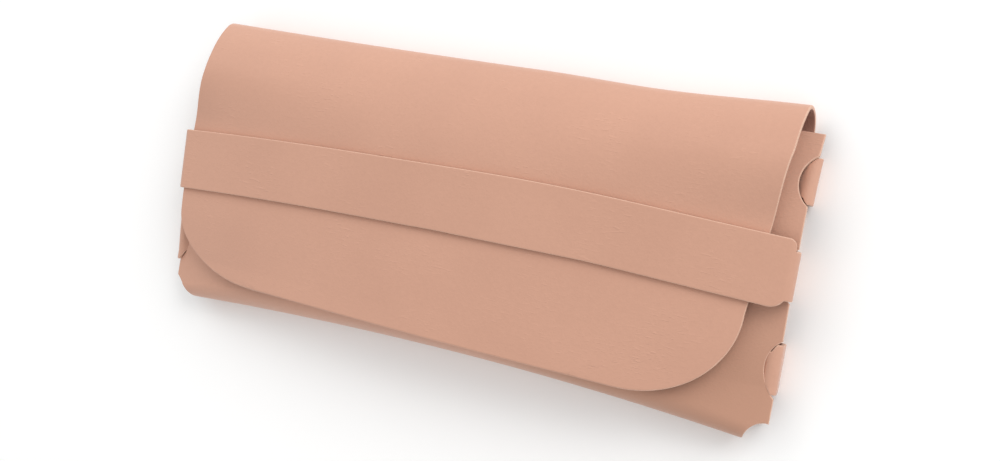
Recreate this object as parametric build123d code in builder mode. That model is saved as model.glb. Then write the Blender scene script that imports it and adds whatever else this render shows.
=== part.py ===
"""A fold-together leather case: one blank that is back, front, rolled top and flap, and a separate strap.

The case lies on its back. X runs along it, -Y is its bottom fold, +Y its rolled top, and +Z its front.
The origin is the middle of the case's footprint, on the surface that it lies on. Lengths are in
millimetres and angles in degrees.

The blank's back panel turns up round the bottom fold into the front panel, and at the other side it
turns over the rolled top into the flap. Four tongues stand up from the ends of the back panel, and
each one's nose is tucked under the lip of a half-moon bite in the front panel. The strap lies across
the flap, and its necks turn down round both ends and lie on the inside of the back panel.
"""

import os
from math import atan, cos, degrees, radians, sin, tan

from build123d import *

os.makedirs("parts", exist_ok=True)

# ---- Driving dimensions ----

leather = 1.0  # thickness of every sheet
layer_gap = 0.2  # air between two layers that lie on each other
case_length = 180.0  # front panel, end to end
case_width = 80.6  # bottom fold to rolled top
case_height = 20.0  # table to the middle of the strap
front_sag = 7.0  # how much lower the front panel lies at its ends than at its middle
fold_sag = 1.9  # how much more that is at the bottom fold
back_inset = 2.8  # front panel's end to the back panel's

fold_arch = 3.0  # how far the bottom fold is drawn in at the middle of the case
fold_margin = 1.0  # straight leather between the fold's half round and the panels
corner_relief = 5.6  # radius of the round bite out of each bottom corner

mouth_inset = 6.2  # rolled top to the front panel's free edge
mouth_run = 24.4  # length of front panel that droops towards its free edge
mouth_droop = 6.1  # drop of the front panel's free edge at the middle
mouth_sag = 5.5  # how much lower the free edge lies at its ends than at its middle

roll_inset_left = 4.8  # front panel's left end to the rolled top's
roll_inset_right = 4.1  # the same at the right
roll_radii = [4.5, 28.0, 34.0]  # outer radius of each bend past the back one
roll_turns = [45.0, 20.0, 25.0]  # how far the leather turns in each of them
hinge_headings = [22.5, 67.5, 112.5, 157.5]  # direction of the leather at each line it bends along
hinge_gap = 0.2  # slit between two strips of the roll

flap_tip_left = 7.6  # bottom fold to the flap's free edge, at its left corner
flap_tip_right = 4.7  # the same at its right corner
flap_inset_left = 2.1  # front panel's left end to the left side of the flap's free edge
flap_inset_right = 9.7  # the same at the right
flap_corner = 24.0  # radius of the flap's corners
flap_sag = 5.2  # how much lower the flap and the strap lie at the ends of the case
flap_tip_sag = 7.0  # the same along the flap's free edge

strap_width = 16.7
strap_bow = 1.75  # how much higher the strap runs at its middle than at its ends
strap_shoulder = 2.2  # radius where the strap narrows to its neck
strap_shoulder_in = 0.8  # from the front panel's end to the strap's shoulder
neck_step_low = 2.1  # strap's lower edge to the neck's lower edge
neck_step_high = 2.8  # the same at the upper edges
neck_bend = 2.5  # outer radius of both bends of the neck
neck_foot_in = 2.45  # how much further in the neck stands at its foot than at its top
neck_notch = 0.9  # depth of the notch that the neck lies in, in the front panel's end
anchor_inset = 8.0  # how far the strap's end reaches along the inside of the back panel

tongue_lower = 17.3  # bottom fold to the middle of the lower tongues
tongue_upper = 11.6  # front panel's free edge to the middle of the upper tongues
tongue_bend = 2.0  # outer radius of the tongue's bends
tongue_proud = 0.5  # front panel's end to the outside of the tongue's wall
tongue_dive = 30.0  # slope at which the tongue's nose runs in under the front panel
nose_width = 5.0
nose_reach = 6.8  # from the front panel's end to the tip of the nose
bite_chord = 12.0  # opening of the half-moon bite along the front panel's end
bite_depth = 3.4
end_clearance = 0.15  # between the front panel's end and the strap's neck outside it

# ---- What follows from them ----

half_length = case_length / 2
fold_y = -case_width / 2
roll_y = case_width / 2
mouth_y = roll_y - mouth_inset
droop_y = mouth_y - mouth_run
flap_top = case_height - leather - layer_gap
front_top = flap_top - leather - layer_gap
seam_y = fold_y + fold_arch + front_top / 2 + fold_margin
tongue_rows = {"lower": fold_y + tongue_lower, "upper": mouth_y - tongue_upper}
neck_outside = half_length + end_clearance + leather
back_end = half_length - back_inset


def front_face(x, y):
    """Height of the front panel's outer face: a parabola along X, drooping towards the mouth along Y."""
    share = max(0.0, (y - droop_y) / mouth_run) ** 2
    fold_share = max(0.0, (droop_y - y) / (droop_y - seam_y))
    sag = front_sag - (front_sag - mouth_sag) * share + fold_sag * fold_share
    return front_top - mouth_droop * share - sag * (x / half_length) ** 2


def arched_sheet(crest, sag):
    """Section of a sheet whose outer face is a parabola, sag lower at its ends than at its crest."""
    with BuildSketch() as section:
        with BuildLine():
            for top in (crest, crest - leather):
                Bezier((-half_length, top - sag), (0, top + sag), (half_length, top - sag))
            for end in (-half_length, half_length):
                Line((end, crest - sag), (end, crest - sag - leather))
        make_face()
    return section.sketch


# The roll's outer face is a chain of arcs that touch. The back bend takes it from lying flat to
# upright, and its radius is what is left of the flap's height below the other bends.


def turned(radius, start, turn):
    """Step in Y and in Z along an arc that starts in direction start and turns towards the front."""
    start_rad, end_rad = radians(start), radians(start + turn)
    return radius * (sin(end_rad) - sin(start_rad)), radius * (cos(start_rad) - cos(end_rad))


bends = []  # (radius, first direction, turn)
heading, rise = 90, 0.0
for radius, turn in zip(roll_radii, roll_turns):
    bends.append((radius, heading, turn))
    rise += turned(radius, heading, turn)[1]
    heading += turn
roll_back_radius = flap_top - rise
roll_start_y = roll_y - roll_back_radius

roll_arcs = []  # (centre Y, centre Z, radius, first direction, last direction)
y, z = roll_start_y, 0.0
for radius, start, turn in [(roll_back_radius, 0, 90), *bends]:
    centre_y, centre_z = y - radius * sin(radians(start)), z + radius * cos(radians(start))
    roll_arcs.append((centre_y, centre_z, radius, start, start + turn))
    step_y, step_z = turned(radius, start, turn)
    y, z = y + step_y, z + step_z
roll_end_y, roll_end_heading = y, heading


def arc_at(direction):
    """The arc of the roll that has this direction somewhere along it."""
    return next(arc for arc in roll_arcs if direction <= arc[4])


def hinge_line(direction):
    """Y and Z of the roll's outer face where the leather runs in this direction."""
    centre_y, centre_z, radius, _, _ = arc_at(direction)
    return centre_y + radius * sin(radians(direction)), centre_z - radius * cos(radians(direction))


def slit(direction):
    """Half of the hinge gap, as an angle of the arc that it lies on."""
    return degrees(hinge_gap / 2 / arc_at(direction)[2])


def roll_strip(first, last):
    """Section of the rolled leather between two directions."""
    with BuildSketch() as section:
        with BuildLine():
            for centre_y, centre_z, radius, start, end in roll_arcs:
                low, high = max(first, start), min(last, end)
                if high > low:
                    CenterArc((centre_y, centre_z), radius - leather / 2, low - 90, high - low)
        trace(line_width=leather)
    return section.sketch


roll_left = roll_inset_left - half_length
roll_right = half_length - roll_inset_right
roll_plane = Plane.YZ.offset(roll_left)
roll_width = roll_right - roll_left

# ---- The pocket ----

# Back panel: a flat sheet, and the narrower start of the curl up into the rolled top.
with BuildPart() as back_panel:
    with BuildSketch():
        with Locations((0, (seam_y + roll_start_y) / 2)):
            Rectangle(2 * back_end, roll_start_y - seam_y)
    extrude(amount=leather)
    with BuildSketch(roll_plane):
        add(roll_strip(0.0, hinge_headings[0] - slit(hinge_headings[0])))
    extrude(amount=roll_width)
back_panel.part.label = "back_panel"
export_step(back_panel.part, "parts/back_panel.step")

bite_radius = (bite_depth**2 + (bite_chord / 2) ** 2) / (2 * bite_depth)
bite_centre = half_length - bite_depth + bite_radius
tongue_outside = half_length + tongue_proud
tongue_radius = bite_radius - layer_gap
tongue_width = 2 * (tongue_radius**2 - (bite_centre - tongue_outside + leather) ** 2) ** 0.5


def bites():
    """Outline of the half-moon bites in the front panel's ends."""
    with BuildSketch() as outline:
        for tongue_y in tongue_rows.values():
            with Locations((-bite_centre, tongue_y), (bite_centre, tongue_y)):
                Circle(bite_radius)
    return outline.sketch


# Bottom fold: a half round that is tighter at the ends of the case, where the front lies lower. Its
# ends and their reliefs lean in below the middle of the fold, to meet the shorter back panel.
fold_ends = half_length - corner_relief  # where the reliefs leave the fold at its full reach
fold_steps = 6  # on each side of the middle
fold_stations = [half_length * step / fold_steps for step in range(-fold_steps, fold_steps + 1)]
with BuildPart() as bottom_fold:
    for x in fold_stations:
        outer = front_face(x, seam_y) / 2
        tangent_y = fold_y + fold_arch * (1 - (x / fold_ends) ** 2) + outer
        with BuildSketch(Plane.YZ.offset(x)):
            with BuildLine():
                for radius in (outer, outer - leather):
                    low, high = outer - radius, outer + radius
                    Line((seam_y, low), (tangent_y, low))
                    ThreePointArc((tangent_y, low), (tangent_y - radius, outer), (tangent_y, high))
                    Line((tangent_y, high), (seam_y, high))
                Line((seam_y, 0), (seam_y, leather))
                Line((seam_y, 2 * outer - leather), (seam_y, 2 * outer))
            make_face()
    loft(ruled=True)
    with BuildSketch():
        with Locations((-half_length, fold_y), (half_length, fold_y)):
            Circle(corner_relief)
        add(bites())
    extrude(amount=case_height, mode=Mode.SUBTRACT)
    lean_height = front_face(half_length, seam_y) / 2
    for side in (-1, 1):
        for end_x, height in ((back_end, 0), (half_length, lean_height)):
            with BuildSketch(Plane.XY.offset(height)):
                with Locations((side * end_x, fold_y)):
                    Circle(corner_relief)
        loft(ruled=True, mode=Mode.SUBTRACT)
    with BuildSketch(Plane.XZ.offset(-roll_y)):
        with BuildLine():
            lean = Line((back_end, 0), (half_length, lean_height))
            Polyline(lean @ 1, (case_length, lean_height), (case_length, 0), lean @ 0)
        make_face()
        mirror(about=Plane.YZ)
    extrude(amount=2 * case_width, mode=Mode.SUBTRACT)
    with BuildSketch():
        with Locations((-half_length, tongue_rows["lower"]), (half_length, tongue_rows["lower"])):
            Rectangle(2 * back_inset, bite_chord)
    extrude(amount=lean_height, mode=Mode.SUBTRACT)
bottom_fold.part.label = "bottom_fold"
export_step(bottom_fold.part, "parts/bottom_fold.step")

# Front panel: arched along the case and drooping at the mouth, with a bite for each tongue and a notch
# for each of the strap's necks.
neck_width = strap_width - neck_step_low - neck_step_high
neck_y = (neck_step_low - neck_step_high) / 2
droop_steps = 8
droop_stations = [droop_y + mouth_run * step / droop_steps for step in range(droop_steps + 1)]
with BuildPart() as front_panel:
    for y in [seam_y, *droop_stations]:
        with BuildSketch(Plane.XZ.offset(-y)):
            add(arched_sheet(front_face(0, y), front_face(0, y) - front_face(half_length, y)))
    loft(ruled=True)
    with BuildSketch():
        add(bites())
        with Locations((-half_length, neck_y), (half_length, neck_y)):
            Rectangle(2 * neck_notch, neck_width + 2 * layer_gap)
    extrude(amount=case_height, mode=Mode.SUBTRACT)
front_panel.part.label = "front_panel"
export_step(front_panel.part, "parts/front_panel.step")

# Tongues: each turns up from the back panel's end, leans out to the front panel's, and turns over and
# in under the bite's lip. The wall is traced first, then the part that is cut to the bite's shape.
lip_x = bite_centre - (bite_radius**2 - (nose_width / 2) ** 2) ** 0.5  # where the nose meets the lip
top_x = tongue_outside - tongue_bend  # middle of the upper bend
dive_x = top_x - tongue_bend * sin(radians(tongue_dive))
middle_bend = tongue_bend - leather / 2
for row, tongue_y in tongue_rows.items():
    lip_under = front_face(lip_x, tongue_y + nose_width / 2) - leather - layer_gap
    top_z = lip_under + (dive_x - lip_x) * tan(radians(tongue_dive)) - tongue_bend * cos(radians(tongue_dive))
    lean_out = degrees(atan((top_x - back_end) / (top_z - tongue_bend)))
    nose_run = (dive_x - half_length + nose_reach + leather) / cos(radians(tongue_dive))
    for side, name in ((-1, "left"), (1, "right")):
        with BuildPart() as tongue:
            with BuildSketch(Plane.XZ.offset(-tongue_y)):
                with BuildLine():
                    over = JernArc((top_x + middle_bend, top_z), (0, 1), middle_bend, 90 + tongue_dive)
                    Line(over @ 1, over @ 1 + (over % 1) * nose_run)
                trace(line_width=leather)
            extrude(amount=bite_chord, both=True)
            with BuildSketch():
                with Locations((bite_centre, tongue_y)):
                    Circle(tongue_radius)
                with Locations((half_length, tongue_y)):
                    Rectangle(case_length, tongue_width, mode=Mode.INTERSECT)
                    SlotOverall(2 * nose_reach, nose_width)
            extrude(amount=case_height, mode=Mode.INTERSECT)
            with BuildSketch(Plane.XZ.offset(-tongue_y)):
                with BuildLine():
                    foot = JernArc((back_end, leather / 2), (1, 0), middle_bend, 90 - lean_out)
                    rise = (foot % 1) * ((top_x - back_end) / sin(radians(lean_out)))
                    wall = Line(foot @ 1, foot @ 1 + rise)
                    JernArc(wall @ 1, wall % 1, middle_bend, lean_out)
                trace(line_width=leather)
            extrude(amount=tongue_width / 2, both=True)
            if side < 0:
                mirror(about=Plane.YZ, mode=Mode.REPLACE)
        tongue.part.label = f"tongue_{row}_{name}"
        export_step(tongue.part, f"parts/tongue_{row}_{name}.step")

# ---- The strap ----

# The strap lies across the middle of the case. Half of it is traced along its own middle line,
# mirrored and cut to its outline. Then its necks are added, which lean in to their feet.
neck_middle_bend = neck_bend - leather / 2
strap_slope = atan(2 * flap_sag / half_length)
bend_x = neck_outside - neck_bend + neck_middle_bend * sin(strap_slope)
strap_middle = case_height - leather / 2
strap_end_z = strap_middle - flap_sag * (bend_x / half_length) ** 2
anchor_z = leather + layer_gap + leather / 2
neck_drop = strap_end_z - neck_middle_bend * cos(strap_slope) - anchor_z - neck_middle_bend
lean_in = degrees(atan(neck_foot_in / neck_drop))
with BuildPart() as strap:
    with BuildSketch(Plane.XZ.offset(-fold_y)):
        with BuildLine():
            span = Bezier((0, strap_middle), (bend_x / 2, strap_middle), (bend_x, strap_end_z))
            over_turn = (span % 1).get_angle(Vector(0, -1)) + lean_in
            over = JernArc(span @ 1, span % 1, neck_middle_bend, -over_turn)
        trace(line_width=leather)
    extrude(amount=-case_width)
    mirror(about=Plane.YZ)
    with BuildSketch():
        shoulder_x = half_length - strap_shoulder_in
        with BuildLine():
            for edge_y in (-strap_width / 2, strap_width / 2):
                Bezier((-shoulder_x, edge_y), (0, edge_y + 2 * strap_bow), (shoulder_x, edge_y))
            for end in (-shoulder_x, shoulder_x):
                Line((end, -strap_width / 2), (end, strap_width / 2))
        make_face()
        fillet(vertices(), radius=strap_shoulder)
        with Locations((0, neck_y)):
            Rectangle(2 * neck_outside, neck_width)
    extrude(amount=case_height, mode=Mode.INTERSECT)
    with BuildSketch(Plane.XZ.offset(-neck_y)):
        with BuildLine():
            neck = Line(over @ 1, over @ 1 + (over % 1) * (neck_foot_in / sin(radians(lean_in))))
            under = JernArc(neck @ 1, neck % 1, neck_middle_bend, lean_in - 90)
            Line(under @ 1, (half_length - anchor_inset, anchor_z))
        trace(line_width=leather)
        mirror(about=Plane.YZ)
    extrude(amount=neck_width / 2, both=True)
strap.part.label = "strap"
export_step(strap.part, "parts/strap.step")

# ---- The rolled top and the flap ----

# Three strips bend apart along the hinge lines as the flap is opened.
for name, first, last in zip(("roll_back", "roll_top", "roll_front"), hinge_headings, hinge_headings[1:]):
    with BuildPart() as strip:
        with BuildSketch(roll_plane):
            add(roll_strip(first + slit(first), last - slit(last)))
        extrude(amount=roll_width)
    strip.part.label = name
    export_step(strip.part, f"parts/{name}.step")

# Flap: the last of the roll, then a sheet that settles onto the front panel's arch under the strap.
pressed_y = strap_width / 2 + strap_bow / 2 + layer_gap
tip_y = fold_y + min(flap_tip_left, flap_tip_right)
with BuildPart() as flap:
    for y, sag in ((roll_end_y, 0.0), (pressed_y, flap_sag), (tip_y, flap_tip_sag)):
        with BuildSketch(Plane.XZ.offset(-y)):
            add(arched_sheet(flap_top, sag))
    loft(ruled=True)
    with BuildSketch():
        with BuildLine():
            Polyline(
                (roll_left, roll_end_y),
                (flap_inset_left - half_length, fold_y + flap_tip_left),
                (half_length - flap_inset_right, fold_y + flap_tip_right),
                (roll_right, roll_end_y),
                close=True,
            )
        make_face()
        fillet(vertices().group_by(Axis.Y)[0] + vertices().group_by(Axis.Y)[1], radius=flap_corner)
    extrude(amount=case_height, mode=Mode.INTERSECT)
    with BuildSketch(roll_plane):
        add(roll_strip(hinge_headings[-1] + slit(hinge_headings[-1]), roll_end_heading))
    extrude(amount=roll_width)
flap.part.label = "flap"
export_step(flap.part, "parts/flap.step")

for direction in hinge_headings:
    line_y, line_z = hinge_line(direction)
    print(f"hinge line where the leather runs at {direction:.1f} degrees: y {line_y:.3f}, z {line_z:.3f}")
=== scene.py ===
"""A fold-together leather case for slim instruments, closed, lying on its back on a pale floor.

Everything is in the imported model's frame: X along the case, -Y the bottom fold, +Y the rolled top,
+Z the front. Sizes are in millimetres unless a name says otherwise, and meshes are put into metres.
"""

from math import ceil, pi, radians, sin, cos

import bpy
import numpy as np
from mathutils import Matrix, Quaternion, Vector


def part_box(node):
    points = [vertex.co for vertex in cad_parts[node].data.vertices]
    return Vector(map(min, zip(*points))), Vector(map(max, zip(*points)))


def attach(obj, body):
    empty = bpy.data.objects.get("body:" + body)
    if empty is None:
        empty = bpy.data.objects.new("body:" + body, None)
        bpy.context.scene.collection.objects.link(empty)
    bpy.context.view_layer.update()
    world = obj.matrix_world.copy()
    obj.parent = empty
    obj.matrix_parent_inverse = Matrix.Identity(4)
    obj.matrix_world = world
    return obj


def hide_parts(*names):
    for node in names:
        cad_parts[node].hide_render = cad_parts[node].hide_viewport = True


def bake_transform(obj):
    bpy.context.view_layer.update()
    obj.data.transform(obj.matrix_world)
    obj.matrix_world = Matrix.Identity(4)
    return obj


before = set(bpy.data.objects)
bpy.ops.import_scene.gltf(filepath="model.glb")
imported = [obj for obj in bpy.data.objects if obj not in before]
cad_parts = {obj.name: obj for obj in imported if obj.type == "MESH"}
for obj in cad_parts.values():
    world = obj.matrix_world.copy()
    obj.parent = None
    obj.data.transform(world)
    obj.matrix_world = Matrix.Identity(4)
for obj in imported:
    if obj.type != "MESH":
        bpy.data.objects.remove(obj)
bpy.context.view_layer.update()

# ---- Camera ----
# The case is seen from above its right end, with the rolled top at the head of the picture.

eye = Vector((0.17020, 0.00963, 0.33592))
aim = Vector((0.01667, -0.00295, 0.01900))
camera_roll = radians(-83.82)
frame_width_px, focal_px, sensor_mm = 1000, 1400, 36

camera_data = bpy.data.cameras.new("camera")
camera_data.sensor_width = sensor_mm
camera_data.lens = sensor_mm * focal_px / frame_width_px
camera_data.clip_start = 0.01
camera = bpy.data.objects.new("camera", camera_data)
bpy.context.collection.objects.link(camera)
camera.location = eye
camera.rotation_mode = "QUATERNION"
camera.rotation_quaternion = (aim - eye).to_track_quat("-Z", "Y") @ Quaternion((0, 0, 1), camera_roll)
bpy.context.scene.camera = camera
bpy.context.scene.view_settings.view_transform = "Standard"

# ---- Floor and light ----
# A pale sheet of studio paper. Two wide soft lights beyond the rolled top, the stronger one to the right,
# and even light from all round.


def new_material(name):
    """Empty material, with its node tree and its shader."""
    material = bpy.data.materials.new(name)
    material.use_nodes = True
    return material, material.node_tree, material.node_tree.nodes["Principled BSDF"]


studio_paper, _, paper_shader = new_material("studio_paper")
paper_shader.inputs["Base Color"].default_value = (0.97, 0.97, 0.965, 1)
paper_shader.inputs["Roughness"].default_value = 0.9

floor_half = 3.0  # metres
floor_mesh = bpy.data.meshes.new("floor")
floor_corners = [(x, y, 0) for x, y in ((-1, -1), (1, -1), (1, 1), (-1, 1))]
floor_mesh.from_pydata([Vector(corner) * floor_half for corner in floor_corners], [], [(0, 1, 2, 3)])
floor_mesh.materials.append(studio_paper)
floor = bpy.data.objects.new("floor", floor_mesh)
bpy.context.collection.objects.link(floor)


def soft_light(name, place, width, power):
    """Square area light, in metres and watts, that faces the case."""
    data = bpy.data.lights.new(name, "AREA")
    data.size = width
    data.energy = power
    light = bpy.data.objects.new(name, data)
    light.location = place
    light.rotation_euler = (-Vector(place)).to_track_quat("-Z", "Y").to_euler()
    bpy.context.collection.objects.link(light)
    return light


light_width = 0.8
soft_light("light_top_right", (0.70, 0.80, 0.70), light_width, 7.8)
soft_light("light_top_left", (-0.70, 0.80, 0.70), light_width, 2.8)

world = bpy.data.worlds.new("studio")
world.use_nodes = True
world.node_tree.nodes["Background"].inputs["Color"].default_value = (1, 1, 1, 1)
world.node_tree.nodes["Background"].inputs["Strength"].default_value = 0.78
bpy.context.scene.world = world

# ---- Pocket: back, bottom fold and front ----
# The lower half of the blank, one sheet of PU leather: flat as the back, turned up round the bottom fold
# and brought over as the front. It is die-cut, with half-moon bites for the tongues in the front's ends
# and a relief in each bottom corner.

mm_per_metre = 1000
leather = 1.0  # thickness
skin_round = 0.28  # how far in from a cut edge the knife has pulled the skin down
backing_round = 0.12  # the same on the inner side
rim = 0.18  # how far in from a cut edge the skin takes the cut edge's pale finish: partly the pale core, partly a painted highlight
edge_rows = (0, 0.02, 0.07, 0.16, 0.28, 0.5, 0.9)  # distances of the mesh lines next to a cut edge
wide_step = 2.2  # mesh lines across the leather are no further apart than this
sharp_angle = 50  # degrees: mesh edges that turn further stay crisp
skin_side, inner_side, cut_side = 0, 1, 2  # order of a piece's three finishes


def box_mm(node):
    """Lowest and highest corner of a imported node, in millimetres."""
    low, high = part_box(node)
    return np.array(low) * mm_per_metre, np.array(high) * mm_per_metre


def ease(value, start, end):
    """Smooth step from 0 at start to 1 at end: with t the share of the way, 3 t squared less 2 t cubed."""
    t = np.clip((value - start) / (end - start), 0, 1)
    return t * t * (3 - 2 * t)


def stations(marks, step):
    """Places from the first mark to the last through every mark, evenly spread and at most step apart."""
    spans = [
        np.linspace(a, b, ceil(abs(b - a) / step) + 1)[:-1] for a, b in zip(marks[:-1], marks[1:])
    ]
    return np.concatenate([*spans, [marks[-1]]])


def facing(face):
    """Unit normals of a grid of points: the cross product of its steps down the rows and along them."""
    across = np.cross(np.gradient(face, axis=0), np.gradient(face, axis=1))
    return across / np.linalg.norm(across, axis=2, keepdims=True)


def distance_from(edge, points):
    """Distance from each point to the nearest stretch of an edge, which is a chain of points."""
    start, along = edge[:-1], np.diff(edge, axis=0)
    reach = points[:, None, :] - start
    share = np.clip((reach * along).sum(2) / (along**2).sum(1), 0, 1)
    return np.linalg.norm(reach - share[..., None] * along, axis=2).min(1)


def sunk(from_edge, radius):
    """Depth of a quarter round at a distance from its edge: the radius less the circle's height there."""
    return radius - np.sqrt(radius**2 - np.clip(radius - from_edge, 0, radius) ** 2)


def leather_sheet(name, face, flat, cut, finishes):
    """Closed sheet under a grid of points that is its skin side.

    The inner side is the skin side moved in along the normals by the leather's thickness, and walls
    join the two round the border. At the borders in cut, both sides are rounded over by quarter
    circles, and the skin has the cut edge's finish on its rim: partly the pale core, partly a painted
    highlight on the rounded edge. flat holds each point's place on the leather before it was folded,
    which the finishes follow.
    """
    rows, columns = face.shape[:2]
    normals = facing(face)
    borders = {"first": face[0], "last": face[-1], "left": face[:, 0], "right": face[:, -1]}
    reach = len(edge_rows) + 1
    near = np.ones((rows, columns), bool)
    near[reach:-reach, reach:-reach] = False
    from_edge = np.full((rows, columns), np.inf)
    from_edge[near] = np.min([distance_from(borders[side], face[near]) for side in cut], axis=0)
    skin = face - normals * sunk(from_edge, skin_round)[..., None]
    backing = face - normals * (leather - sunk(from_edge, backing_round))[..., None]

    index = np.arange(rows * columns).reshape(rows, columns)
    quads = np.stack([index[:-1, :-1], index[1:, :-1], index[1:, 1:], index[:-1, 1:]], axis=-1)
    quads = quads.reshape(-1, 4)
    loop = np.concatenate([index[0, :-1], index[:-1, -1], index[-1, :0:-1], index[:0:-1, 0]])
    onward = np.roll(loop, -1)
    walls = np.stack([loop, onward, onward + rows * columns, loop + rows * columns], axis=-1)
    faces = np.concatenate([quads, quads[:, ::-1] + rows * columns, walls])
    # Partly real pale core, partly painted highlight: the skin's faces next to a cut edge take the cut
    # edge's paler finish.
    is_rim = from_edge.ravel()[quads].mean(1) < rim
    finish_of = np.concatenate([
        np.where(is_rim, cut_side, skin_side),
        np.repeat([inner_side, cut_side], [len(quads), len(walls)])])

    mesh = bpy.data.meshes.new(name)
    points = np.concatenate([skin.reshape(-1, 3), backing.reshape(-1, 3)]) / mm_per_metre
    mesh.from_pydata(points.tolist(), [], faces.tolist())
    mesh.polygons.foreach_set("material_index", finish_of)
    depth = np.repeat([0, -leather], rows * columns)
    on_blank = np.column_stack([np.tile(flat.reshape(-1, 2), (2, 1)), depth]) / mm_per_metre
    attribute = mesh.attributes.new("flat_leather", "FLOAT_VECTOR", "POINT")
    attribute.data.foreach_set("vector", on_blank.ravel())
    for finish in finishes:
        mesh.materials.append(finish)
    mesh.shade_smooth()
    mesh.set_sharp_from_angle(angle=radians(sharp_angle))
    mesh.update()
    piece = bpy.data.objects.new(name, mesh)
    bpy.context.collection.objects.link(piece)
    return piece


def run_along(face):
    """Distance down the rows of a grid from its first row, added up step by step."""
    steps = np.linalg.norm(np.diff(face, axis=0), axis=2)
    return np.concatenate([np.zeros((1, face.shape[1])), np.cumsum(steps, axis=0)])


def add_node(tree, kind, **settings):
    """Shader node with its settings and its input values."""
    node = tree.nodes.new(kind)
    for key, value in settings.items():
        if key in node.inputs:
            node.inputs[key].default_value = value
        else:
            setattr(node, key, value)
    return node


def on_leather(tree, stretch=(1, 1, 1)):
    """Place on the flat leather, in metres, stretched along its sides."""
    place = add_node(tree, "ShaderNodeAttribute", attribute_name="flat_leather")
    scaled = add_node(tree, "ShaderNodeVectorMath", operation="MULTIPLY")
    scaled.inputs[1].default_value = stretch
    tree.links.new(place.outputs["Vector"], scaled.inputs[0])
    return scaled.outputs[0]


noise, cells = "ShaderNodeTexNoise", "ShaderNodeTexVoronoi"


def pattern(tree, kind, place, low, high, **settings):
    """Texture whose value between low and high is spread over 0 to 1."""
    texture = add_node(tree, kind, **settings)
    spread = add_node(tree, "ShaderNodeMapRange", **{"From Min": low, "From Max": high})
    tree.links.new(place, texture.inputs["Vector"])
    tree.links.new(texture.outputs[0], spread.inputs["Value"])
    return spread.outputs["Result"]


def product(tree, first, second):
    """Two values multiplied; either may be a number."""
    node = add_node(tree, "ShaderNodeMath", operation="MULTIPLY")
    for socket, value in zip(node.inputs, (first, second)):
        if isinstance(value, (int, float)):
            socket.default_value = value
        else:
            tree.links.new(value, socket)
    return node.outputs[0]


def tinted(tree, share, first, second):
    """Colour that goes from first to second as share goes from 0 to 1; either may be a socket."""
    node = add_node(tree, "ShaderNodeMix", data_type="RGBA")
    for socket, value in zip((node.inputs[0], node.inputs[6], node.inputs[7]), (share, first, second)):
        if isinstance(value, bpy.types.NodeSocket):
            tree.links.new(value, socket)
        else:
            socket.default_value = value
    return node.outputs[2]


def raised(tree, height, distance, below=None):
    """Bump of a height between 0 and 1 that stands distance (metres) proud, on another bump's normal."""
    node = add_node(tree, "ShaderNodeBump", Distance=distance, Strength=1.0)
    tree.links.new(height, node.inputs["Height"])
    if below is not None:
        tree.links.new(below, node.inputs["Normal"])
    return node.outputs[0]


def shade(tone, share):
    """Colour with alpha: each part of the tone times the share, or times its own part of the share."""
    return (*np.multiply(tone, share).tolist(), 1)


crease_stretch = (0.22, 1, 1)  # creases are drawn out along the case
pebble_depth, pore_height, crease_height = 0.000024, 0.000009, 0.00006  # metres
painted_shade_stretch = (0.6, 1, 1)  # the painted shade patch is longer along the case
painted_shade_place = (0.6 * 0.064, -0.084, 0)  # on the flat leather: the right part of the bottom fold
painted_shade_reach, painted_shade_core = 0.030, 0.014  # metres from there: where it ends, and where it is full
painted_shade_factors = (0.87, 0.86, 0.83)


def rose_skin(name, tone, pale):
    """PU leather's skin side: a fine pebble grain, creases along the case in places, a mottled tone, and
    one patch of painted shade round the right part of the bottom fold."""
    material, tree, shader = new_material(name)
    place = on_leather(tree)
    drawn_out = on_leather(tree, crease_stretch)
    clouds = pattern(tree, noise, place, 0.35, 0.65, Scale=28, Detail=3)
    mottle = pattern(tree, noise, place, 0.3, 0.7, Scale=700, Detail=2)
    pebbles = pattern(tree, cells, place, 0.0, 0.55, feature="SMOOTH_F1", Scale=1250, Smoothness=0.6)
    pores = pattern(tree, noise, place, 0.3, 0.7, Scale=3600, Detail=2)
    creases = pattern(tree, noise, drawn_out, 0.57, 0.72, Scale=1700, Detail=1, Distortion=0.3)
    where_creased = pattern(tree, noise, place, 0.48, 0.66, Scale=55, Detail=3)
    creased = product(tree, creases, where_creased)

    colour = tinted(tree, product(tree, clouds, 0.5), (*tone, 1), (*pale, 1))
    colour = tinted(tree, product(tree, mottle, 0.12), colour, shade(tone, 0.8))
    colour = tinted(tree, product(tree, creased, 0.14), colour, shade(pale, 1.25))
    # Painted shade: the colour is darkened in a patch round the right part of the bottom fold, standing in
    # for shade there.
    from_patch = add_node(tree, "ShaderNodeVectorMath", operation="DISTANCE")
    from_patch.inputs[1].default_value = painted_shade_place
    tree.links.new(on_leather(tree, painted_shade_stretch), from_patch.inputs[0])
    painted_shade_patch = add_node(tree, "ShaderNodeMapRange", **{"From Min": painted_shade_reach, "From Max": painted_shade_core})
    tree.links.new(from_patch.outputs["Value"], painted_shade_patch.inputs["Value"])
    colour = tinted(tree, painted_shade_patch.outputs["Result"], colour, shade(tone, painted_shade_factors))
    tree.links.new(colour, shader.inputs["Base Color"])
    roughness = add_node(tree, "ShaderNodeMapRange", **{"To Min": 0.52, "To Max": 0.66})
    tree.links.new(clouds, roughness.inputs["Value"])
    tree.links.new(roughness.outputs["Result"], shader.inputs["Roughness"])
    shader.inputs["Specular IOR Level"].default_value = 0.35
    shader.inputs["Sheen Weight"].default_value = 0.22

    relief = raised(tree, pebbles, -pebble_depth)
    relief = raised(tree, pores, pore_height, relief)
    relief = raised(tree, creased, crease_height, relief)
    tree.links.new(relief, shader.inputs["Normal"])
    return material


nap_height, fibre_height = 0.00006, 0.00005  # metres


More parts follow.
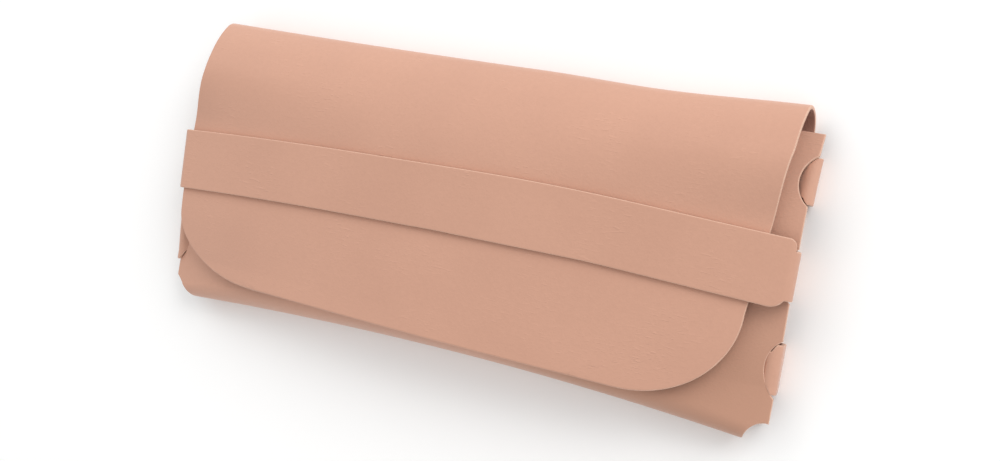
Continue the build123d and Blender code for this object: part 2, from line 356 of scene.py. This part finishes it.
def brushed_backing(name, tone):
    """The leather's inner side: a short brushed nap, with fibres that lie every way."""
    material, tree, shader = new_material(name)
    place = on_leather(tree)
    nap = pattern(tree, noise, place, 0.25, 0.75, Scale=2600, Detail=4, Roughness=0.7)
    clouds = pattern(tree, noise, place, 0.35, 0.65, Scale=60, Detail=3)
    colour = tinted(tree, product(tree, nap, 0.6), shade(tone, 0.82), (*tone, 1))
    colour = tinted(tree, product(tree, clouds, 0.25), colour, shade(tone, 1.12))
    tree.links.new(colour, shader.inputs["Base Color"])
    shader.inputs["Roughness"].default_value = 0.92
    shader.inputs["Specular IOR Level"].default_value = 0.2
    shader.inputs["Sheen Weight"].default_value = 0.15
    tree.links.new(raised(tree, nap, nap_height), shader.inputs["Normal"])
    return material


def cut_edge(name, tone):
    """Knife-cut edge, where the pale fibre core shows between the skin and the backing."""
    material, tree, shader = new_material(name)
    fibres = pattern(tree, noise, on_leather(tree), 0.3, 0.7, Scale=3200, Detail=3)
    colour = tinted(tree, fibres, shade(tone, 0.80), (*tone, 1))
    tree.links.new(colour, shader.inputs["Base Color"])
    shader.inputs["Roughness"].default_value = 0.85
    tree.links.new(raised(tree, fibres, fibre_height), shader.inputs["Normal"])
    return material


# core_tone is the cut edge's pale colour; on the skin's rim it also serves as a painted highlight.
backing_tone, core_tone = (0.50, 0.25, 0.185), (0.74, 0.47, 0.35)
case_finishes = (
    rose_skin("case_skin", (0.560, 0.302, 0.211), (0.620, 0.342, 0.241)),
    brushed_backing("case_backing", backing_tone),
    cut_edge("case_cut_edge", core_tone),
)

half_length, mouth_y, front_top = box_mm("front_panel")[1]
fold_y = box_mm("bottom_fold")[0][1]
back_end = box_mm("back_panel")[1][0]
roll_y = box_mm("roll_top")[1][1]
roll_back_radius = 6.854  # of the bend that takes the back up into the rolled top
roll_start_y = roll_y - roll_back_radius
front_sag, fold_sag, mouth_sag = 7.0, 1.9, 5.5  # ends under the middle, more at the fold, at the mouth
mouth_droop, mouth_run = 6.1, 24.4  # how far the mouth's edge droops, and over which length
fold_arch, fold_drop = 3.4, 1.0  # the fold drawn in at the middle, and the front's drop next to it
drop_from_y = -8  # where that drop sets in
arch_ends = {"left": 88.0, "right": 76.0}  # where the fold's outermost line is back at fold_y
relief_half_chord, relief_half_run = 6.3, 7.9  # the holes about the ends of the fold's outermost line
relief_powers = (1.1, 1.75)  # left and right: 1 is a diamond with straight sides, 2 is an ellipse
seam_y = box_mm("front_panel")[0][1]  # where the front runs into the bottom fold
bite_depth = 3.3
bite_half_chords = {"upper": 6.2, "lower": 7.0}
bite_middles = {row: (box_mm(f"tongue_{row}_right")[0] + box_mm(f"tongue_{row}_right")[1])[1] / 2
                for row in bite_half_chords}
neck_low, neck_high = -6.25, 5.55  # lower and upper edge of the strap's necks
neck_notches = (1.4, 0.8)  # depth of the front's notch for the neck, left and right
notch_corner = 0.6  # length of the notch's soft corners
low_left_drop, low_left_from = 0.8, -45  # the front has sunk at its lower left corner, from this X on
end_zone = 9.0  # length of the sheet's ends, where the mesh follows the bites
handover = 3  # how far short of the roll the back ends and the roll's first strip takes over
wave_height, wave_along, wave_across = 0.10, 71, 43
slanting_height, slanting_length, slant = 0.05, 27, 0.6
phase_along, phase_across = 1.3, 0.4


def unevenness(x, y):
    """Hand-folded leather is never flat: a sine along the case times one across it, and a lower, shorter
    sine that slants."""
    broad = np.sin(2 * pi * x / wave_along + phase_along) * np.sin(2 * pi * y / wave_across + phase_across)
    return wave_height * broad + slanting_height * np.sin(2 * pi * (x + slant * y) / slanting_length)


def front_height(x, y):
    """Height of the front: a parabola along the case, deeper at the fold, that droops by a square law
    towards the mouth and, less, towards the fold, and has one sunken corner."""
    share = np.clip((y - mouth_y + mouth_run) / mouth_run, 0, None) ** 2
    fold_share = np.clip((mouth_y - mouth_run - y) / (mouth_y - mouth_run - seam_y), 0, 1)
    sag = front_sag - (front_sag - mouth_sag) * share + fold_sag * fold_share
    sunk_corner = low_left_drop * ease(x, low_left_from, -half_length) * ease(y, 0, fold_y)
    towards_fold = fold_drop * np.clip((drop_from_y - y) / (drop_from_y - seam_y), 0, 1) ** 2
    return front_top - mouth_droop * share - sag * (x / half_length) ** 2 - sunk_corner - towards_fold


def fold_radius(x):
    """Outer radius of the bottom fold: half the height of the front just above it."""
    return front_height(x, np.full_like(x, seam_y)) / 2


def fold_tangent(x):
    """Where back and front run into the fold: a parabola drawn in by the arch, plus the fold's radius."""
    arch = fold_arch * (1 - (x / np.where(x < 0, arch_ends["left"], arch_ends["right"])) ** 2)
    return fold_y + arch + fold_radius(x)


def bite_radius(row):
    """Radius of a bite: depth squared plus half chord squared, over twice the depth."""
    return (bite_depth**2 + bite_half_chords[row] ** 2) / (2 * bite_depth)


def end_of_front(y, neck_notch):
    """Reach of the front along the case: its length, less a circle's segment at each bite, and a shallow
    notch with soft corners for the strap's neck."""
    notch = ease(y, neck_low - notch_corner, neck_low) * (1 - ease(y, neck_high, neck_high + notch_corner))
    reach = half_length - neck_notch * notch
    for row, half_chord in bite_half_chords.items():
        radius, off = bite_radius(row), np.clip(np.abs(y - bite_middles[row]), 0, half_chord)
        reach -= np.sqrt(radius**2 - off**2) - (radius - bite_depth)
    return reach


def relief_at(run, power):
    """Half chord of the corner's relief at a distance along the leather from its middle: a superellipse."""
    return relief_half_chord * np.clip(1 - np.abs(run / relief_half_run) ** power, 0, None) ** (1 / power)


ends = np.array([-half_length, half_length])
tangent_at_ends, radius_at_ends = fold_tangent(ends), fold_radius(ends)
quarter_at_ends = radius_at_ends * pi / 2
bite_marks = [
    bite_middles[row] + side * bite_half_chords[row] for row in ("upper", "lower") for side in (1, -1)
]
bite_step, relief_step = 0.6, 0.1  # mesh rows are this far apart down the front, and at the reliefs
relief_top = max(tangent_at_ends + relief_half_run - quarter_at_ends) + relief_step
front_rows = np.concatenate([
    mouth_y - np.array(edge_rows[:-1]),
    stations([mouth_y - edge_rows[-1], *bite_marks, relief_top], bite_step),
    stations([relief_top - relief_step, tangent_at_ends[1]], relief_step)])
front_share = (mouth_y - front_rows) / (mouth_y - tangent_at_ends[1])
first_turn, last_turn, turn_step = 8, 178, 4  # degrees round the fold, from the front to the back
narrowing_turn = 60  # from here on the sheet narrows to the back's shorter ends
fold_turns = stations([first_turn, last_turn], turn_step)
relief_share, back_step = 0.004, 0.03  # mesh rows are this share of the back's width apart
back_share = np.concatenate([
    stations([relief_share, back_step], relief_share), stations([0.05, 1], back_step)])

rows_at_ends = []
for tangent, radius, quarter, power, neck_notch in zip(
        tangent_at_ends, radius_at_ends, quarter_at_ends, relief_powers, neck_notches):
    front_y = mouth_y + (tangent - mouth_y) * front_share
    back_run = -quarter - back_share * (roll_start_y - tangent)
    drawn_to_back = (half_length - back_end) * ease(fold_turns, narrowing_turn, last_turn)
    rows_at_ends.append(np.concatenate([
        end_of_front(front_y, neck_notch) - relief_at(front_y - tangent + quarter, power),
        half_length - drawn_to_back - relief_at(np.radians(90 - fold_turns) * radius, power),
        np.minimum(back_end, half_length - relief_at(back_run, power))]))
left_reach, right_reach = (reach[:, None] for reach in rows_at_ends)

to_end = np.array([*edge_rows, 1.5, 2.4, 3.5, 5.0, 7.0, end_zone])  # mesh lines next to the ends
columns = np.concatenate([
    -half_length + to_end, stations([end_zone - half_length, half_length - end_zone], wide_step)[1:-1],
    (half_length - to_end)[::-1]])
inner = half_length - end_zone
beyond = np.clip(np.abs(columns) - inner, 0, None) / end_zone
reach = np.where(columns < 0, left_reach, right_reach)
pocket_x = np.sign(columns) * (np.clip(np.abs(columns), 0, inner) + beyond * (reach - inner))

front_x, fold_x, back_x = np.split(pocket_x, [len(front_share), len(front_share) + len(fold_turns)])
front_y = mouth_y + (fold_tangent(front_x) - mouth_y) * front_share[:, None]
front_z = front_height(front_x, front_y)
front_z += unevenness(front_x, front_y) * ease(front_y, fold_tangent(front_x), 0)
turn = np.radians(fold_turns)[:, None]
fold_face_y = fold_tangent(fold_x) - fold_radius(fold_x) * np.sin(turn)
fold_face_z = fold_radius(fold_x) * (1 + np.cos(turn))
back_y = fold_tangent(back_x) + (roll_start_y - handover - fold_tangent(back_x)) * back_share[:, None]
pocket_face = np.concatenate([
    np.stack([front_x, front_y, front_z], axis=-1),
    np.stack([fold_x, fold_face_y, fold_face_z], axis=-1),
    np.stack([back_x, back_y, np.zeros_like(back_y)], axis=-1)])
run = run_along(pocket_face)
middle_column = len(columns) // 2
pocket_flat = np.stack([pocket_face[..., 0], run - run[-1, middle_column] - handover], axis=-1)

pocket_cut = ("first", "left", "right")
pocket = leather_sheet("pocket_leather", pocket_face, pocket_flat, pocket_cut, case_finishes)
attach(pocket, "pocket")
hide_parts("back_panel", "bottom_fold", "front_panel")

# ---- Tongues ----
# Four half-moon tongues left standing on the ends of the back. Each one turns up, leans out to the
# front's end, turns over it and in, and its narrow nose is tucked under the lip of its bite.

tongue_bend = 2.0  # outer radius
tongue_dive = 30.0  # degrees
tongue_gap = 0.06  # between the tongue and its bite
nose_reach = 6.8
nose_half_width, nose_tip_x = 4.2, half_length - nose_reach
nose_blunt = 0.04  # square of the nose's half width at its very tip
bend_step, wall_step, dive_step = 6, 0.15, 0.4  # mesh rows: degrees, share of the wall, millimetres
full_rows = 3  # rows past the wall that keep the wall's width
tongue_columns = np.linspace(-0.8, 0.8, 15)  # shares of the half width


def tongue_path(wall_x, top_z):
    """Outer line of a tongue in the plane across its bend, and which of its points are cut to the bite's
    shape: a round at the foot, a wall that leans out, a wider round at the top, and a straight dive."""
    foot_centre, top_centre = np.array([back_end, tongue_bend]), np.array([wall_x - tongue_bend, top_z])
    lean = np.degrees(np.arctan2(*(top_centre - foot_centre)))
    foot = np.radians(stations([0, 90 - lean], bend_step))
    top = np.radians(stations([90 - lean, 90, 180 + tongue_dive], bend_step))
    foot_line = foot_centre + tongue_bend * np.column_stack([np.sin(foot), -np.cos(foot)])
    top_line = top_centre + tongue_bend * np.column_stack([np.sin(top), -np.cos(top)])
    wall_line = foot_line[-1] + stations([0, 1], wall_step)[1:-1, None] * (top_line[0] - foot_line[-1])
    dive = -np.array([cos(radians(tongue_dive)), sin(radians(tongue_dive))])
    dive_length = (nose_tip_x - top_line[-1, 0]) / dive[0]
    along = np.append(
        stations([dive_step, dive_length - edge_rows[-1]], dive_step),
        dive_length - np.array(edge_rows[:-1])[::-1])
    path = np.concatenate([foot_line, wall_line, top_line, top_line[-1] + along[:, None] * dive])
    return path, np.arange(len(path)) > len(foot_line) + len(wall_line) + full_rows


def tongue_half_width(x, is_cut, wall_x, row):
    """Half width at a place along the case: the bite's circle less the gap, then the round-ended nose,
    and never more than the wall's, which is the circle's half chord at the wall."""
    radius = bite_radius(row) - tongue_gap
    centre = half_length - bite_depth + bite_radius(row)
    wall_half_width = np.sqrt(radius**2 - (centre - wall_x + leather) ** 2)
    moon = np.sqrt(np.clip(radius**2 - (centre - x) ** 2, 0, None))
    past_tip = np.clip(nose_tip_x + nose_half_width - x, 0, nose_half_width)
    nose = np.sqrt(np.clip(nose_half_width**2 - past_tip**2, nose_blunt, None))
    return np.where(is_cut, np.minimum(np.maximum(moon, nose), wall_half_width), wall_half_width)


further_out = {"tongue_lower_left": 0.6, "tongue_lower_right": -0.4}  # two of them do not stand quite true

for row_name in ("lower", "upper"):
    for side_name, side in (("left", -1), ("right", 1)):
        node = f"tongue_{row_name}_{side_name}"
        low, high = box_mm(node)
        wall_x = max(abs(low[0]), abs(high[0])) + further_out.get(node, 0)
        path, is_cut = tongue_path(wall_x, high[2] - tongue_bend)
        half_width = tongue_half_width(path[:, 0], is_cut, wall_x, row_name)
        middle_y = (low[1] + high[1]) / 2
        rim_share = np.array(edge_rows) / half_width.max()
        across = np.concatenate([rim_share - 1, tongue_columns, 1 - rim_share[::-1]])
        grid_y = middle_y - side * half_width[:, None] * across
        tilt = front_height(side * wall_x, grid_y) - front_height(side * wall_x, middle_y)
        height = path[:, 1:] + tilt * np.clip(path[:, 1:] / high[2], 0, 1)
        face = np.stack([np.broadcast_to(side * path[:, :1], grid_y.shape), grid_y, height], axis=-1)
        run = run_along(face)
        flat = np.stack([side * (back_end + run), grid_y - roll_start_y], axis=-1)
        tongue = leather_sheet(f"{node}_leather", face, flat, ("last", "left", "right"), case_finishes)
        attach(tongue, "pocket")
        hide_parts(node)

# ---- Rolled top ----
# The blank's middle, rolled over from the back to the front. It bends along four lines as the case
# is opened, so it is made in strips that meet half way between those lines.

# outer radius of each bend, the direction in which it starts, and how far it turns, in degrees
roll_bends = [(roll_back_radius, 0, 90), (4.5, 90, 45), (22.4, 135, 20), (46.0, 155, 25)]
roll_low, roll_high = box_mm("roll_top")
roll_left, roll_right = roll_low[0], roll_high[0]
roll_drawn_in = 0.8  # how far the roll is drawn towards the front at the middle of the case
roll_dent, dent_x, dent_reach = 0.75, 50.0, 36.0  # a shallow dent in the roll, right of the middle
drawn_from, drawn_until = (40, 90), (140, 180)  # directions over which both set in and end
inner_column = 1.6  # the first wide mesh line's distance from a cut edge


def roll_line(headings):
    """Y and Z of the roll's outer line where it runs in each direction, in degrees: arcs that touch."""
    line = np.zeros((len(headings), 2))
    y, z = roll_start_y, 0.0
    for radius, start, turn in roll_bends:
        centre_y, centre_z = y - radius * sin(radians(start)), z + radius * cos(radians(start))
        here = (headings >= start) & (headings <= start + turn)
        angle = np.radians(headings[here])
        line[here] = np.column_stack([centre_y + radius * np.sin(angle), centre_z - radius * np.cos(angle)])
        end = radians(start + turn)
        y, z = centre_y + radius * sin(end), centre_z - radius * cos(end)
    return line


def roll_run(headings):
    """Length of leather from the start of the roll to each direction: radius times turn, added up."""
    return sum(
        radius * np.radians(np.clip(headings - start, 0, turn)) for radius, start, turn in roll_bends)


def bell(x, middle, reach):
    """Cosine bell: 1 at its middle and 0 beyond its reach."""
    return (1 + np.cos(pi * np.clip((x - middle) / reach, -1, 1))) / 2


def drawn_in(x, heading):
    """How far the roll is pulled towards the front: a parabola along the case and a bell, on its upper
    turn only."""
    drawn = roll_drawn_in * (1 - (x / roll_right) ** 2) + roll_dent * bell(x, dent_x, dent_reach)
    return drawn * ease(heading, *drawn_from) * (1 - ease(heading, *drawn_until))


roll_columns = np.concatenate([
    roll_left + np.array(edge_rows),
    stations([roll_left + inner_column, roll_right - inner_column], wide_step),
    (roll_right - np.array(edge_rows))[::-1]])
close_turn, strip_step, flap_step = 0.25, 3, 2.5  # degrees between mesh rows


def seam_rows(first, last, step):
    """Directions from first to last, with close rows at both ends so that neighbours shade alike."""
    return np.concatenate([
        [first, first + close_turn], stations([first + 1, last - 1], step), [last - close_turn, last]])


def bend_point(heading):
    """Point of the roll's outer line, in metres, where the leather runs in this direction."""
    y, z = roll_line(np.array([heading]))[0]
    return (0, y / mm_per_metre, z / mm_per_metre)


# each strip's directions at its lower and upper seam, and those between which it bends
for name, node, bodies, first, last, bend_from, bend_to in (
    ("roll_lower_leather", "roll_back", ("pocket", "roll_back"), 0, 45, 2, 43),
    ("roll_middle_leather", "roll_top", ("roll_back", "roll_top"), 45, 90, 47, 86),
    ("roll_upper_leather", "roll_front", ("roll_top", "roll_front"), 90, 135, 95, 133),
):
    headings = seam_rows(first, last, strip_step)
    line = roll_line(headings)
    shift = drawn_in(roll_columns[None, :], headings[:, None])
    face = np.stack([
        np.broadcast_to(roll_columns, (len(headings), len(roll_columns))),
        line[:, :1] - shift, np.broadcast_to(line[:, 1:], shift.shape)], axis=-1)
    run = np.broadcast_to(roll_run(headings)[:, None], shift.shape)
    if first == 0:
        face = np.concatenate([face[:1] - [0, handover, 0], face[:1] - [0, 1, 0], face])
        run = np.concatenate([run[:1] - handover, run[:1] - 1, run])
    flat = np.stack([face[..., 0], run], axis=-1)
    strip = leather_sheet(name, face, flat, ("left", "right"), case_finishes)
    bend_point(bend_from)
    bend_point(bend_to)
    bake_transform(strip)
    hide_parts(node)

# ---- Flap ----
# The blank's upper end, with both corners cut round. It comes down over the front, is held flat under
# the strap, and its free edge stands a little off the front, most at the right-hand corner.

flap_top = box_mm("flap")[1][2]
strap_half_width, strap_bow, strap_skew, strap_drop = 8.35, 2.3, 0.35, 0.35
strap_bulge, bulge_x, bulge_reach = 0.5, 28.0, 50.0
flap_sag, flap_tip_sag, sag_skew = 5.2, 7.0, 1.3
press_from_y, press_gap = 28, 0.3  # where the pressing down sets in, and how far above the strap it is full
tip_run, tip_power = 20, 1.5  # how it deepens below the strap
uneven_share, uneven_full_y = 0.6, 5  # the flap's part of the front's unevenness, and where it is full
flap_from_heading = 135
flap_blend = (137, 178)  # directions between which the flap bends
# each side runs straight from the roll's end at from_y to its corner at to_y, and the corner is a
# quarter ellipse about x and y
flap_sides = {
    "left": {"side": -1, "roll_x": roll_left, "from_y": 26.0, "to_y": 9.0,
             "x": -58.5, "across": 29.3, "y": fold_y + 24.4, "down": 16.9},
    "right": {"side": 1, "roll_x": roll_right, "from_y": 29.0, "to_y": fold_y + 29.3,
              "x": 53.0, "across": 28.1, "y": fold_y + 29.3, "down": 23.9},
}


def flap_reach(at_y, side, roll_x, from_y, to_y, x, across, y, down):
    """Reach of the flap at a height: a straight line that leaves the roll's width for the corner's, and
    below the corner's centre a quarter ellipse."""
    straight = roll_x + (x + side * across - roll_x) * np.clip((from_y - at_y) / (from_y - to_y), 0, 1)
    below = np.clip((y - at_y) / down, 0, 1)
    return np.where(at_y > y, straight, x + side * across * np.sqrt(1 - below**2))


def strap_middle(x):
    """Y of the strap's middle line: a parabola along the case, a little lower at the left end, and a
    slight bulge right of the middle."""
    bowed = strap_bow * (1 - (x / half_length) ** 2) + strap_bulge * bell(x, bulge_x, bulge_reach)
    return bowed + strap_skew * x / half_length - strap_drop


def pressed_down(x, y):
    """How far the flap is pressed down: a parabola along the case that sets in above the strap, and
    deepens below it, more at the left end than at the right one."""
    strap_edge = strap_half_width + strap_middle(x)
    below_strap = np.clip((-strap_half_width - y) / tip_run, 0, 1) ** tip_power
    sag = flap_sag + (flap_tip_sag - flap_sag - sag_skew * x / half_length) * below_strap
    return sag * ease(y, press_from_y, strap_edge + press_gap) * (x / half_length) ** 2


flap_headings = np.concatenate([seam_rows(flap_from_heading, 180, flap_step)[:-2], [180.0]])
line = roll_line(flap_headings)
roll_end_y = line[-1, 0]
tips = {name: where["y"] - where["down"] for name, where in flap_sides.items()}
corner_share = (roll_end_y - flap_sides["right"]["y"]) / (roll_end_y - tips["right"])
around = np.radians(stations([0, 90], 3))
row_share = 0.025  # mesh rows down the flap, above its corners
down_share = np.concatenate([
    stations([row_share, corner_share], row_share)[:-1],
    corner_share + (1 - corner_share) * np.sin(around)])
side_marks = {}
for name, where in flap_sides.items():
    side_y = np.concatenate([line[:, 0], roll_end_y + (tips[name] - roll_end_y) * down_share])
    side_marks[name] = flap_reach(side_y, **where)[:, None]
across = (roll_columns - roll_left) / (roll_right - roll_left)
flap_x = side_marks["left"] + (side_marks["right"] - side_marks["left"]) * across
tip_share = (flap_x - flap_sides["left"]["x"]) / (flap_sides["right"]["x"] - flap_sides["left"]["x"])
tip_y = tips["left"] + (tips["right"] - tips["left"]) * tip_share[len(line):]
rolled_y = line[:, :1] - drawn_in(flap_x[:len(line)], flap_headings[:, None])
flap_y = np.concatenate([rolled_y, roll_end_y + (tip_y - roll_end_y) * down_share[:, None]])
flap_z = np.append(line[:, 1], np.full_like(down_share, flap_top))[:, None] - pressed_down(flap_x, flap_y)
flap_z += uneven_share * unevenness(flap_x, flap_y) * ease(flap_y, roll_end_y, uneven_full_y)
flap_face = np.stack([flap_x, flap_y, flap_z], axis=-1)
run = run_along(flap_face) + roll_run(np.array([float(flap_from_heading)]))
flap_flat = np.stack([flap_face[..., 0], run], axis=-1)
flap = leather_sheet("flap_leather", flap_face, flap_flat, ("last", "left", "right"), case_finishes)
bend_point(flap_blend[0])
bend_point(flap_blend[1])
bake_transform(flap)
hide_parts("flap")

# ---- Strap ----
# A separate band of the same leather across the middle of the case. At each end it narrows to a neck,
# which turns down round the pocket's end and in over the inside of the back.

strap_top = box_mm("strap")[1][2]
strap_reach = box_mm("strap")[1][0]
neck_bend, neck_foot_in = 2.5, 2.45  # the neck's bends, and how much further in it stands at its foot
# how far each end reaches, where it narrows to the neck, and the rounds of its two shoulders
strap_ends = {
    -1: {"reach": strap_reach - 0.95, "shoulder": strap_reach - 0.96, "low_round": 0.8, "high_round": 0.8},
    1: {"reach": strap_reach, "shoulder": half_length + 0.45, "low_round": 4.5, "high_round": 1.8},
}
anchor_inset, layer_gap = 8.0, 0.2
anchor_x = half_length - anchor_inset
anchor_z = leather + layer_gap
shoulder_zone, shoulder_step = 3, 0.3  # the strap's ends, and the distance of the mesh rows there
over_rows, under_rows, neck_step, column_step = 40, 10, 0.12, 0.07  # counts, and shares of a length
foot_step, foot_start = 1.0, 0.8
slant_shift, slant_rate = 0.235, 0.064  # the left end is cut a little slanting, and drawn in
slant_from_x, slant_full_x = -60, -86
pattern_place = 500  # the strap's place in the leather's pattern, clear of the blank

strap_finishes = (
    rose_skin("strap_skin", (0.550, 0.297, 0.207), (0.605, 0.334, 0.235)),
    brushed_backing("strap_backing", backing_tone),
    cut_edge("strap_cut_edge", core_tone),
)


def strap_height(x):
    """Height of the strap: the crest less a parabola along the case."""
    return strap_top - flap_sag * (x / half_length) ** 2


def strap_path(side):
    """Outer line of half of the strap: a parabola, a round, the neck, which leans in, a round and the
    foot."""
    end = strap_ends[side]
    upper_x = end["reach"] - neck_bend
    tilt = np.arctan(2 * flap_sag * upper_x / half_length**2)
    bend_x = upper_x + neck_bend * np.sin(tilt)
    upper = np.array([upper_x, strap_height(bend_x) - neck_bend * np.cos(tilt)])
    lower = np.array([upper_x - neck_foot_in, anchor_z + neck_bend])
    lean = np.arctan2(*(upper - lower))
    zone_x = bend_x - shoulder_zone
    span_x = np.concatenate([
        stations([0, zone_x], wide_step)[:-1], stations([zone_x, bend_x], shoulder_step)])
    span = np.column_stack([span_x, strap_height(span_x)])
    turn = np.linspace(tilt, pi / 2 + lean, over_rows)[1:]
    over = upper + neck_bend * np.column_stack([np.sin(turn), np.cos(turn)])
    turn = np.linspace(pi / 2 + lean, pi, under_rows)
    under = lower + neck_bend * np.column_stack([np.sin(turn), np.cos(turn)])
    neck = over[-1] + stations([0, 1], neck_step)[1:-1, None] * (under[0] - over[-1])
    foot_x = np.append(
        stations([under[-1, 0] - foot_start, anchor_x + edge_rows[-1]], foot_step),
        anchor_x + np.array(edge_rows[:-1])[::-1])
    foot = np.column_stack([foot_x, np.full_like(foot_x, under[-1, 1])])
    return np.concatenate([span, over, neck, under, foot]) * [side, 1]


def strap_edges(path, side):
    """Lower and upper edge of half of the strap: bowed lines that run through a round shoulder into the
    neck's edges."""
    end = strap_ends[side]
    x = np.abs(path[:, 0])
    is_neck = (np.arange(len(path)) > np.argmax(x)) | (x >= end["shoulder"])
    cut_off = []
    for radius in (end["low_round"], end["high_round"]):
        past = np.clip(x - end["shoulder"] + radius, 0, radius)
        cut_off.append(radius - np.sqrt(radius**2 - past**2))
    middle = strap_middle(path[:, 0])
    low = np.where(is_neck, neck_low, np.minimum(middle - strap_half_width + cut_off[0], neck_low))
    high = np.where(is_neck, neck_high, np.maximum(middle + strap_half_width - cut_off[1], neck_high))
    return low, high


left_path, right_path = strap_path(-1), strap_path(1)
path = np.concatenate([left_path[:0:-1], right_path])
edges = zip(strap_edges(left_path, -1), strap_edges(right_path, 1))
low_edge, high_edge = (np.concatenate([left[:0:-1], right]) for left, right in edges)
width = 2 * strap_half_width
across = np.concatenate([
    np.array(edge_rows) / width, stations([inner_column / width, 1 - inner_column / width], column_step),
    1 - np.array(edge_rows)[::-1] / width])
strap_y = high_edge + (low_edge - high_edge) * across[:, None]
slanted = ease(path[:, 0], slant_from_x, slant_full_x)
strap_x = path[:, 0] + (slant_shift - slant_rate * strap_y) * slanted
strap_z = np.broadcast_to(path[:, 1], strap_y.shape)
strap_face = np.stack([strap_x, strap_y, strap_z], axis=-1)
strap_run = np.concatenate([[0], np.cumsum(np.linalg.norm(np.diff(path, axis=0), axis=1))])
along_pattern = strap_run - strap_run.mean() + pattern_place
strap_flat = np.stack([np.broadcast_to(along_pattern, strap_y.shape), strap_y + pattern_place], axis=-1)
strap_cut = ("first", "last", "left", "right")
strap = leather_sheet("strap_leather", strap_face, strap_flat, strap_cut, strap_finishes)
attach(strap, "pocket")
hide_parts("strap")
